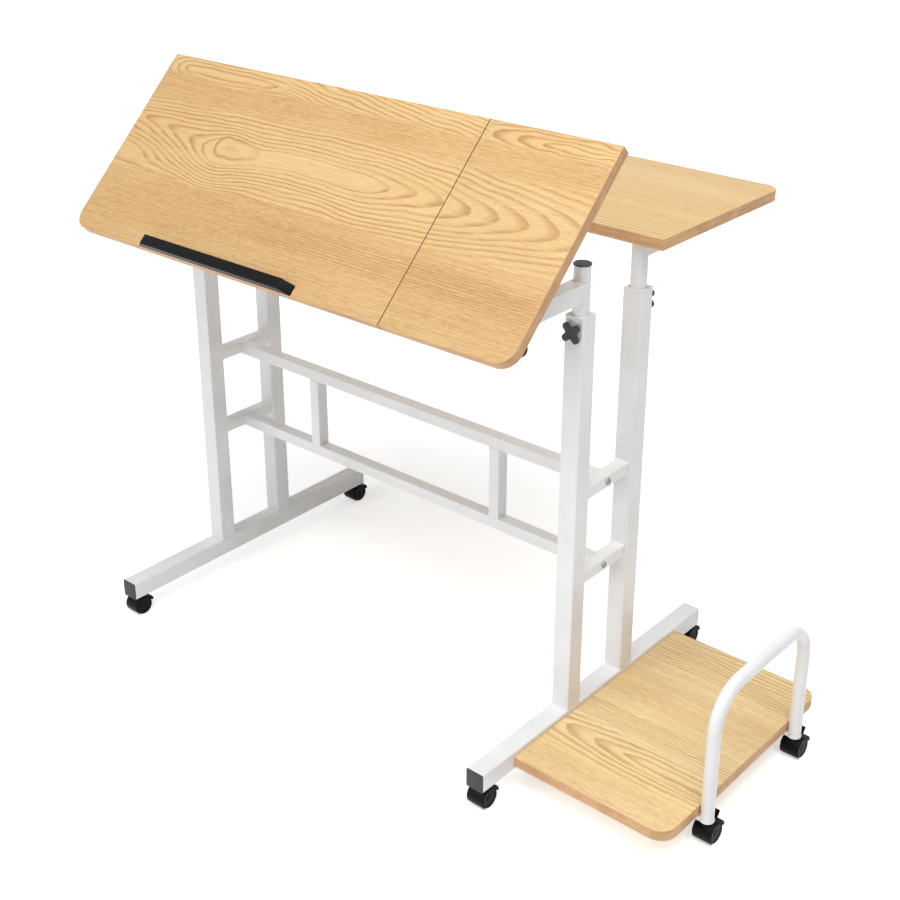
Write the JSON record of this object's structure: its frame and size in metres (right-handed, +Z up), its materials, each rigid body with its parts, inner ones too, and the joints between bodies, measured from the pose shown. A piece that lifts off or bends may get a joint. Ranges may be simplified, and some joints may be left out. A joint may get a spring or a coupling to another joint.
{
  "type": "mobile laptop table",
  "caption": "Height-adjustable laptop table on small twin-wheel casters, with a tilting front board, a level rear board and a low side shelf for a computer.",
  "frame": {"origin": "on the floor, under the middle of the bounding box", "axes": "+X to the user's right, along the boards' width; +Y away from the user; +Z up"},
  "size_m": [1.031, 0.6196, 0.8567],
  "materials": {
    "white_steel": "white powder coat, semi-gloss",
    "zinc_steel": "zinc plated, satin",
    "grey_plastic": "moulded, fine texture",
    "white_plastic": "moulded, smooth",
    "wood_board": "light wood-grain laminate with a matching edge band, satin",
    "black_plastic": "moulded, fine texture",
    "black_wheel": "moulded nylon, smooth tread"
  },
  "bodies": {
    "base_frame": {"left_foot": "white_steel", "right_foot": "white_steel", "side_ties": "white_steel", "cross_rails": "white_steel", "rail_struts": "white_steel", "rail_bolts": "zinc_steel", "foot_end_caps": "grey_plastic", "post_bushes": "white_plastic", "caster_stems": "zinc_steel", "shelf_board": "wood_board", "shelf_support_bars": "white_steel", "shelf_screws": "zinc_steel", "guard_tube": "white_steel", "guard_tube_plugs": "white_plastic", "left_front_post": "white_steel", "left_rear_post": "white_steel", "right_front_post": "white_steel", "right_rear_post": "white_steel"},
    "front_carriage": {"left_front_tube": "white_steel", "right_front_tube": "white_steel", "front_arms": "white_steel", "front_tube_caps": "grey_plastic"},
    "front_board": {"left_desk_panel": "wood_board", "right_desk_panel": "wood_board", "panel_rails": "white_steel", "hinge_brackets": "white_steel", "hinge_bolts": "black_plastic", "laptop_stop": "black_plastic", "panel_screws": "zinc_steel"},
    "rear_carriage": {"left_rear_tube": "white_steel", "right_rear_tube": "white_steel", "rear_arms": "white_steel", "rear_board": "wood_board", "rear_board_screws": "zinc_steel"},
    "left_tilt_knob": {"left_tilt_knob": "black_plastic"},
    "right_tilt_knob": {"right_tilt_knob": "black_plastic"},
    "left_front_clamp_knob": {"left_front_clamp_knob": "black_plastic"},
    "left_rear_clamp_knob": {"left_rear_clamp_knob": "black_plastic"},
    "right_front_clamp_knob": {"right_front_clamp_knob": "black_plastic"},
    "right_rear_clamp_knob": {"right_rear_clamp_knob": "black_plastic"},
    "left_front_caster": {"left_front_caster_hood": "black_plastic"},
    "left_front_left_wheel": {"left_front_caster_left_wheel": "black_wheel"},
    "left_front_right_wheel": {"left_front_caster_right_wheel": "black_wheel"},
    "left_rear_caster": {"left_rear_caster_hood": "black_plastic"},
    "left_rear_left_wheel": {"left_rear_caster_left_wheel": "black_wheel"},
    "left_rear_right_wheel": {"left_rear_caster_right_wheel": "black_wheel"},
    "right_front_caster": {"right_front_caster_hood": "black_plastic"},
    "right_front_left_wheel": {"right_front_caster_left_wheel": "black_wheel"},
    "right_front_right_wheel": {"right_front_caster_right_wheel": "black_wheel"},
    "right_rear_caster": {"right_rear_caster_hood": "black_plastic"},
    "right_rear_left_wheel": {"right_rear_caster_left_wheel": "black_wheel"},
    "right_rear_right_wheel": {"right_rear_caster_right_wheel": "black_wheel"},
    "shelf_front_caster": {"shelf_front_caster_hood": "black_plastic"},
    "shelf_front_left_wheel": {"shelf_front_caster_left_wheel": "black_wheel"},
    "shelf_front_right_wheel": {"shelf_front_caster_right_wheel": "black_wheel"},
    "shelf_front_brake": {"shelf_front_brake_lever": "black_plastic"},
    "shelf_rear_caster": {"shelf_rear_caster_hood": "black_plastic"},
    "shelf_rear_left_wheel": {"shelf_rear_caster_left_wheel": "black_wheel"},
    "shelf_rear_right_wheel": {"shelf_rear_caster_right_wheel": "black_wheel"},
    "shelf_rear_brake": {"shelf_rear_brake_lever": "black_plastic"}
  },
  "joints": [
    {"name": "front_height", "type": "slide", "parent": "base_frame", "child": "front_carriage", "axis": [0, 0, 1], "range_m": [-0.018, 0.25]},
    {"name": "rear_height", "type": "slide", "parent": "base_frame", "child": "rear_carriage", "axis": [0, 0, 1], "range_m": [-0.042, 0.25]},
    {"name": "front_tilt", "type": "hinge", "parent": "front_carriage", "child": "front_board", "pos_m": [-0.1155, -0.20272, 0.674], "axis": [1, 0, 0], "range_deg": [-45, 5]},
    {"name": "left_tilt_knob_turn", "type": "hinge", "parent": "front_carriage", "child": "left_tilt_knob", "pos_m": [-0.4895, -0.22572, 0.674], "axis": [-1, 0, 0], "range_deg": [0, 360]},
    {"name": "right_tilt_knob_turn", "type": "hinge", "parent": "front_carriage", "child": "right_tilt_knob", "pos_m": [0.2585, -0.22572, 0.674], "axis": [1, 0, 0], "range_deg": [0, 360]},
    {"name": "left_front_clamp_turn", "type": "hinge", "parent": "base_frame", "child": "left_front_clamp_knob", "pos_m": [-0.4715, -0.12172, 0.62], "axis": [0, -1, 0], "range_deg": [0, 360]},
    {"name": "left_rear_clamp_turn", "type": "hinge", "parent": "base_frame", "child": "left_rear_clamp_knob", "pos_m": [-0.4715, 0.04828, 0.62], "axis": [0, 1, 0], "range_deg": [0, 360]},
    {"name": "right_front_clamp_turn", "type": "hinge", "parent": "base_frame", "child": "right_front_clamp_knob", "pos_m": [0.2405, -0.12172, 0.62], "axis": [0, -1, 0], "range_deg": [0, 360]},
    {"name": "right_rear_clamp_turn", "type": "hinge", "parent": "base_frame", "child": "right_rear_clamp_knob", "pos_m": [0.2405, 0.04828, 0.62], "axis": [0, 1, 0], "range_deg": [0, 360]},
    {"name": "left_front_swivel", "type": "hinge", "parent": "base_frame", "child": "left_front_caster", "pos_m": [-0.4715, -0.28522, 0.031], "axis": [0, 0, 1], "continuous": true},
    {"name": "left_front_left_wheel_spin", "type": "hinge", "parent": "left_front_caster", "child": "left_front_left_wheel", "pos_m": [-0.48125, -0.28122, 0.0145], "axis": [1, 0, 0], "continuous": true},
    {"name": "left_front_right_wheel_spin", "type": "hinge", "parent": "left_front_caster", "child": "left_front_right_wheel", "pos_m": [-0.46175, -0.28122, 0.0145], "axis": [1, 0, 0], "continuous": true},
    {"name": "left_rear_swivel", "type": "hinge", "parent": "base_frame", "child": "left_rear_caster", "pos_m": [-0.4715, 0.21178, 0.031], "axis": [0, 0, 1], "continuous": true},
    {"name": "left_rear_left_wheel_spin", "type": "hinge", "parent": "left_rear_caster", "child": "left_rear_left_wheel", "pos_m": [-0.48125, 0.21578, 0.0145], "axis": [1, 0, 0], "continuous": true},
    {"name": "left_rear_right_wheel_spin", "type": "hinge", "parent": "left_rear_caster", "child": "left_rear_right_wheel", "pos_m": [-0.46175, 0.21578, 0.0145], "axis": [1, 0, 0], "continuous": true},
    {"name": "right_front_swivel", "type": "hinge", "parent": "base_frame", "child": "right_front_caster", "pos_m": [0.2405, -0.28522, 0.031], "axis": [0, 0, 1], "continuous": true},
    {"name": "right_front_left_wheel_spin", "type": "hinge", "parent": "right_front_caster", "child": "right_front_left_wheel", "pos_m": [0.23075, -0.28122, 0.0145], "axis": [1, 0, 0], "continuous": true},
    {"name": "right_front_right_wheel_spin", "type": "hinge", "parent": "right_front_caster", "child": "right_front_right_wheel", "pos_m": [0.25025, -0.28122, 0.0145], "axis": [1, 0, 0], "continuous": true},
    {"name": "right_rear_swivel", "type": "hinge", "parent": "base_frame", "child": "right_rear_caster", "pos_m": [0.2405, 0.21178, 0.031], "axis": [0, 0, 1], "continuous": true},
    {"name": "right_rear_left_wheel_spin", "type": "hinge", "parent": "right_rear_caster", "child": "right_rear_left_wheel", "pos_m": [0.23075, 0.21578, 0.0145], "axis": [1, 0, 0], "continuous": true},
    {"name": "right_rear_right_wheel_spin", "type": "hinge", "parent": "right_rear_caster", "child": "right_rear_right_wheel", "pos_m": [0.25025, 0.21578, 0.0145], "axis": [1, 0, 0], "continuous": true},
    {"name": "shelf_front_swivel", "type": "hinge", "parent": "base_frame", "child": "shelf_front_caster", "pos_m": [0.5015, -0.14972, 0.031], "axis": [0, 0, 1], "continuous": true},
    {"name": "shelf_front_left_wheel_spin", "type": "hinge", "parent": "shelf_front_caster", "child": "shelf_front_left_wheel", "pos_m": [0.49175, -0.14572, 0.0145], "axis": [1, 0, 0], "continuous": true},
    {"name": "shelf_front_right_wheel_spin", "type": "hinge", "parent": "shelf_front_caster", "child": "shelf_front_right_wheel", "pos_m": [0.51125, -0.14572, 0.0145], "axis": [1, 0, 0], "continuous": true},
    {"name": "shelf_front_brake_press", "type": "hinge", "parent": "shelf_front_caster", "child": "shelf_front_brake", "pos_m": [0.5015, -0.1318, 0.02354], "axis": [1, 0, 0], "range_deg": [-24, 0]},
    {"name": "shelf_rear_swivel", "type": "hinge", "parent": "base_frame", "child": "shelf_rear_caster", "pos_m": [0.5015, 0.07628, 0.031], "axis": [0, 0, 1], "continuous": true},
    {"name": "shelf_rear_left_wheel_spin", "type": "hinge", "parent": "shelf_rear_caster", "child": "shelf_rear_left_wheel", "pos_m": [0.49175, 0.08028, 0.0145], "axis": [1, 0, 0], "continuous": true},
    {"name": "shelf_rear_right_wheel_spin", "type": "hinge", "parent": "shelf_rear_caster", "child": "shelf_rear_right_wheel", "pos_m": [0.51125, 0.08028, 0.0145], "axis": [1, 0, 0], "continuous": true},
    {"name": "shelf_rear_brake_press", "type": "hinge", "parent": "shelf_rear_caster", "child": "shelf_rear_brake", "pos_m": [0.5015, 0.0942, 0.02354], "axis": [1, 0, 0], "range_deg": [-24, 0]}
  ]
}
